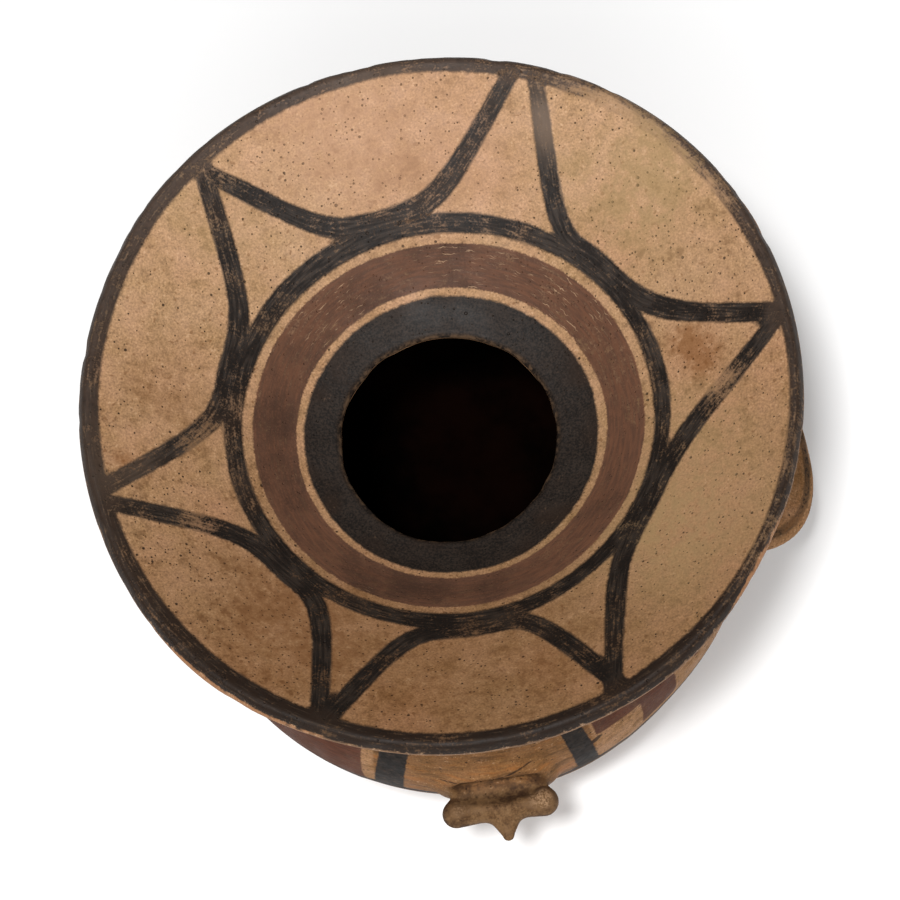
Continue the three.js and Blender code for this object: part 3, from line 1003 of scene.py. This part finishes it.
class Finish:
    """A material in the making, with its Principled shader and Object coordinates."""

    def __init__(self, name, roughness, shine):
        self.material = bpy.data.materials.new(name)
        self.material.use_nodes = True
        self.tree = self.material.node_tree
        self.shader = self.tree.nodes["Principled BSDF"]
        self.shader.inputs["Roughness"].default_value = roughness
        self.shader.inputs["Specular IOR Level"].default_value = shine
        self.where = Signal(place(self.tree, "ShaderNodeTexCoord").outputs["Object"])

    def kept(self, name):
        """The number kept on the mesh under a name."""
        return Signal(place(self.tree, "ShaderNodeAttribute", {"attribute_name": name}).outputs["Fac"])

    def use(self, group, **inputs):
        """A shared group with its own values, and what it gives by name."""
        return signals(place(self.tree, "ShaderNodeGroup", {"node_tree": group}, inputs).outputs)

    def noises(self):
        """The shared noises, and their values for the brushed paint."""
        fine = self.use(NOISES, Place=self.where, Along=self.kept("along"), Across=self.kept("across"))
        shared = {name: fine[name] for name in ("Grain", "Specks", "Bristles")}
        return fine, {"Patches": self.kept("patches"), **shared}

    def end(self, colour, roughness, height, depth):
        """Links the colour, the roughness and a bump of the given depth to the shader."""
        bump = colour.into("ShaderNodeBump", None, {"Strength": 1.0, "Distance": depth, "Height": height})
        for name, signal in (("Base Color", colour), ("Roughness", roughness), ("Normal", bump)):
            self.tree.links.new(signal.socket, self.shader.inputs[name])
        return self.material


def funnel_material():
    """The painted funnel: slip with pits and stains, darker towards the front, black strokes, the brown band
    with its fine pale scratches, the worn lip with painted glints, and a painted highlight on the throat's
    edge."""
    finish = Finish("painted funnel", 0.6, 0.16)
    kept = finish.kept
    fine, noises = finish.noises()
    mottle, specks, grain, bristles = (fine[name] for name in ("Mottle", "Specks", "Grain", "Bristles"))
    clay = finish.use(CLAY, Place=finish.where, Main=BUFF_SLIP, Second=WARM_SLIP, Grain=grain,
                      Cloud=kept("cloud"), Mottle=mottle, Specks=specks, Pitting=kept("pitting"))
    # Darker towards the front (-Y), across the slip and the black paint
    towards_back = finish.where.into("ShaderNodeSeparateXYZ", None, {0: finish.where}, 1)
    tone = towards_back.spread(-0.16, 0.15).between(FRONT_TONE, BACK_TONE)
    colour = clay["Colour"].shaded(tone)
    broken = (mottle + specks).spread(0.7, 1.25, 0.35, 1.2)
    for name, stain in STAINS.items():
        colour = ((kept(name) * broken).clamped() * 0.62).between(colour, stain)

    brown = finish.use(BRUSHED, Distance=kept("brown"), Rub=0.12, Softness=0.4, **noises)["Cover"]
    hue = bristles.spread(0.3, 0.7).between(*BROWN_BAND)
    dull = mottle + kept("cloud") + 0.9 * grain
    hue = dull.spread(1.25, 2.1, 0.0, 0.75).between(hue, DULL_BROWN)
    colour = brown.between(colour, hue)
    zone = (2.0 * mottle + kept("scratched")).spread(1.5, 2.1)
    colour = (0.75 * fine["Scratches"].spread(0.7, 0.78) * zone * brown).between(colour, SCRATCH)

    smooth, umber = kept("smooth"), kept("umber")
    rub = 0.13 + 0.8 * kept("rubbed") - 0.35 * smooth
    black = finish.use(BRUSHED, Distance=kept("black"), Rub=rub, Softness=0.7, **noises)
    even = 0.75 * smooth
    brushed = bristles + even * (0.5 - bristles)
    calm = mottle + even * (grain - mottle)
    coal = (brushed + calm).spread(0.85, 1.25).between(SOOT, SLATE)
    coal = grain.spread(0.3, 0.8, 0.0, 0.5).between(coal, UMBER)
    coal = (0.35 * bristles.spread(0.5, 0.75) * umber).between(coal, FADED_PAINT)
    # The rim band's brown is lighter towards the back
    rim_brown = towards_back.spread(-0.13, 0.12).between(UMBER, RIM_BROWN)
    streaks = (specks + bristles).spread(0.75, 1.2, 1.0, 0.35)
    coal = (umber * streaks).between(coal, rim_brown)
    coal = kept("patches").spread(0.0, 0.9, 0.0, 0.6).between(coal, UMBER)
    coal = (0.6 * black["Thin"]).between(coal, FADED_PAINT)
    coal = kept("fade").between(coal, FADED_PAINT)
    colour = black["Cover"].between(colour, coal.shaded(tone))

    lip = kept("lip")
    bare = (lip + 0.9 * mottle + 1.2 * specks).spread(1.55, 2.0)
    worn = (kept("bared") + 1.1 * specks).spread(0.75, 1.15).between(WORN_LIP, BARE_CLAY)
    colour = (0.8 * bare).between(colour, worn)
    # Pale flecks on the lip: wear, and painted glint
    colour = (lip * (specks + grain).spread(1.1, 1.3, 0.0, 0.6)).between(colour, LIP_WEAR_AND_GLINT)
    # Painted highlight along the throat's rounded edge, broken by specks
    colour = (0.55 * kept("edge") * specks.spread(0.4, 0.65)).between(colour, THROAT_EDGE_HIGHLIGHT)
    height = clay["Height"] + 0.35 * black["Cover"]
    return finish.end(colour, mottle.spread(0.25, 0.75, 0.5, 0.66), height, 0.00035)


def body_material():
    """The body outside: golden slip, cream panels, red frets, black bars and lines, darker worn lugs, smoke on
    the head bar's ends, painted shade in its hollow and under the lugs, a painted highlight on the bar's ends,
    and the plain brown slip below the painted zone."""
    finish = Finish("painted body", 0.7, 0.1)
    kept = finish.kept
    fine, noises = finish.noises()
    mottle, specks, grain, bristles = (fine[name] for name in ("Mottle", "Specks", "Grain", "Bristles"))
    streaky = bristles.spread(0.3, 0.7)
    cream = finish.use(BRUSHED, Distance=kept("cream"), Rub=0.1, Softness=0.8, **noises)["Cover"]
    pale = streaky.between(*CREAM)
    clay = finish.use(CLAY, Place=finish.where, Main=cream.between(streaky.between(*OCHRE), pale), Grain=grain,
                      Second=cream.between(OCHRE_CLOUD, pale), Cloud=kept("cloud"), Mottle=mottle,
                      Specks=specks, Pitting=0.25)
    colour = clay["Colour"]
    smears = kept("along").crossed(kept("across"), 45.0, 240.0).noise(1.0, 3.0, 0.6)
    lug = kept("lug")
    bare_clay = 1.0 - cream.larger(lug)
    colour = (0.6 * smears.spread(0.5, 0.68) * bare_clay).between(colour, GLOW)
    colour = (0.7 * smears.spread(0.48, 0.34) * bare_clay).between(colour, DIRT)
    red = finish.use(BRUSHED, Distance=kept("red"), Rub=0.15, Softness=0.5, **noises)
    colour = red["Cover"].between(colour, streaky.between(*FRET_RED))

    handled = (mottle + specks + 0.6 * grain).spread(1.05, 1.55).between(*HANDLED_CLAY)
    colour = (0.8 * lug).between(colour, handled)
    # Smoke on the bar's ends, and painted shade in the hollow and under the lugs
    smoke_and_shade = kept("smoke_and_shade") * (mottle + specks).spread(0.75, 1.15, 0.3, 1.0)
    colour = (0.8 * smoke_and_shade).clamped().between(colour, SMOKE_AND_SHADE)
    # Painted highlight on the tops of the bar's ends
    end_highlight = kept("bar_end_highlight") * (specks + grain).spread(0.8, 1.2)
    colour = (0.8 * end_highlight).between(colour, BAR_END_HIGHLIGHT)

    rub = 0.12 + 0.45 * kept("scuffed")
    black = finish.use(BRUSHED, Distance=kept("black"), Rub=rub, Softness=0.5, **noises)
    coal = (specks + mottle).spread(0.8, 1.2, 0.0, 0.55).between(SOOT, SLATE)
    colour = black["Cover"].between(colour, coal)
    crack = (kept("crack") + 0.7 * specks).spread(0.3, 0.65)
    colour = (0.85 * crack).between(colour, CRACK)
    bare = (kept("lip") + 0.8 * specks).spread(0.7, 1.0)
    streak = bristles.spread(0.35, 0.65).between(WORN_LIP, PALE_STREAK)
    colour = (0.85 * bare).between(colour, streak)
    return finish.end(colour, mottle.spread(0.25, 0.75, 0.6, 0.8), clay["Height"], 0.00035)


def inside_material():
    """The inside, painted near-black as shade, with a faint red-brown cloud."""
    finish = Finish("shaded inside", 0.9, 0.0)
    colour = finish.where.noise(20.0, 4.0, 0.6).spread(0.45, 0.7).between(*INSIDE_SHADE)
    height = finish.where.noise(260.0, 3.0, 0.6)
    return finish.end(colour, height.spread(0.2, 0.8, 0.8, 0.95), height, 0.0004)


def make_olla():
    """The whole jar as one fired-clay piece in place of the plain solid."""
    piece = fused(turned_vessel(), lug_pieces())
    mesh = piece.data
    points = read_points(mesh)
    points = relax(mesh, points, seam_weight(points), 12)
    mesh.materials.clear()
    for material in (funnel_material(), body_material(), inside_material()):
        mesh.materials.append(material)
    moved = hand_built(points)
    paint_vessel(mesh, points, moved)
    write_points(mesh, moved)
    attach(piece, "root")
    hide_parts("olla")
    return piece


# Camera, light and floor: degrees, metres, watts and, for the floor, millimetres
CAMERA_AZIMUTH = 3.6
CAMERA_ELEVATION = 69.5
CAMERA_ROLL = -11.0
CAMERA_DISTANCE = 1.6
CAMERA_AIM_HEIGHT = 0.2225
FOCAL_PIXELS = 3888.0
AIM_PIXEL = (446.2, 425.5)
PICTURE_SIDE = 900.0
SENSOR = 36.0
KEY_POWER = 86
FRONT_POWER = 26
ROOM_BRIGHTNESS = 0.34
FLOOR_HALF_SIDE = 8000.0
FLOOR_GREYS = (0.9, 0.9, 0.9, 1), (0.92, 0.92, 0.92, 1)


def aimed(name, data, azimuth, elevation, distance, roll=0.0):
    """An object that looks at the jar's rim from that azimuth, elevation and distance, rolled
    about its line of sight. Its +Z points from the rim to itself."""
    a, e, r = (math.radians(value) for value in (azimuth, elevation, roll))
    back = np.array([math.sin(a) * math.cos(e), -math.cos(a) * math.cos(e), math.sin(e)])
    right = np.array([math.cos(a), math.sin(a), 0])
    up = np.cross(back, right)
    turn = np.eye(4)
    turn[:3, 0] = math.cos(r) * right + math.sin(r) * up
    turn[:3, 1] = math.cos(r) * up - math.sin(r) * right
    turn[:3, 2] = back
    turn[:3, 3] = back * distance + (0, 0, CAMERA_AIM_HEIGHT)
    thing = bpy.data.objects.new(name, data)
    thing.matrix_world = Matrix(turn)
    bpy.context.scene.collection.objects.link(thing)
    return thing


def add_camera():
    """The camera at the photograph's angle, with a small shift to frame the jar."""
    data = bpy.data.cameras.new("camera")
    data.sensor_width = SENSOR
    data.lens = FOCAL_PIXELS / PICTURE_SIDE * SENSOR
    data.shift_x = (PICTURE_SIDE / 2 - AIM_PIXEL[0]) / PICTURE_SIDE
    data.shift_y = (AIM_PIXEL[1] - PICTURE_SIDE / 2) / PICTURE_SIDE
    bpy.context.scene.camera = aimed(
        "camera", data, CAMERA_AZIMUTH, CAMERA_ELEVATION, CAMERA_DISTANCE, CAMERA_ROLL)


def add_softbox(name, azimuth, elevation, distance, side, power):
    """A square area light that faces the jar's rim."""
    data = bpy.data.lights.new(name, "AREA")
    data.size = side
    data.energy = power
    aimed(name, data, azimuth, elevation, distance).visible_camera = False


def add_floor():
    """A plain pale floor under the jar's foot."""
    corners = np.array([(-1, -1, 0), (1, -1, 0), (1, 1, 0), (-1, 1, 0)]) * FLOOR_HALF_SIDE
    floor = new_piece("floor", corners, [(0, 1, 2, 3)])
    finish = Finish("pale floor", 0.9, 0.1)
    colour = finish.where.noise(3.0).between(*FLOOR_GREYS)
    finish.tree.links.new(colour.socket, finish.shader.inputs["Base Color"])
    floor.data.materials.append(finish.material)


def add_light():
    """Soft studio light: a large box high up in front and to the left, and a white room."""
    add_softbox("key light", -14, 74.1, 3.2, 0.28, KEY_POWER)
    add_softbox("front light", -5, 50, 2.4, 1.3, FRONT_POWER)
    world = bpy.data.worlds.new("room")
    world.use_nodes = True
    room = world.node_tree.nodes["Background"].inputs
    room["Color"].default_value = (1, 1, 1, 1)
    room["Strength"].default_value = ROOM_BRIGHTNESS
    bpy.context.scene.world = world
    bpy.context.scene.view_settings.view_transform = "Standard"


make_olla()
add_camera()
add_light()
add_floor()
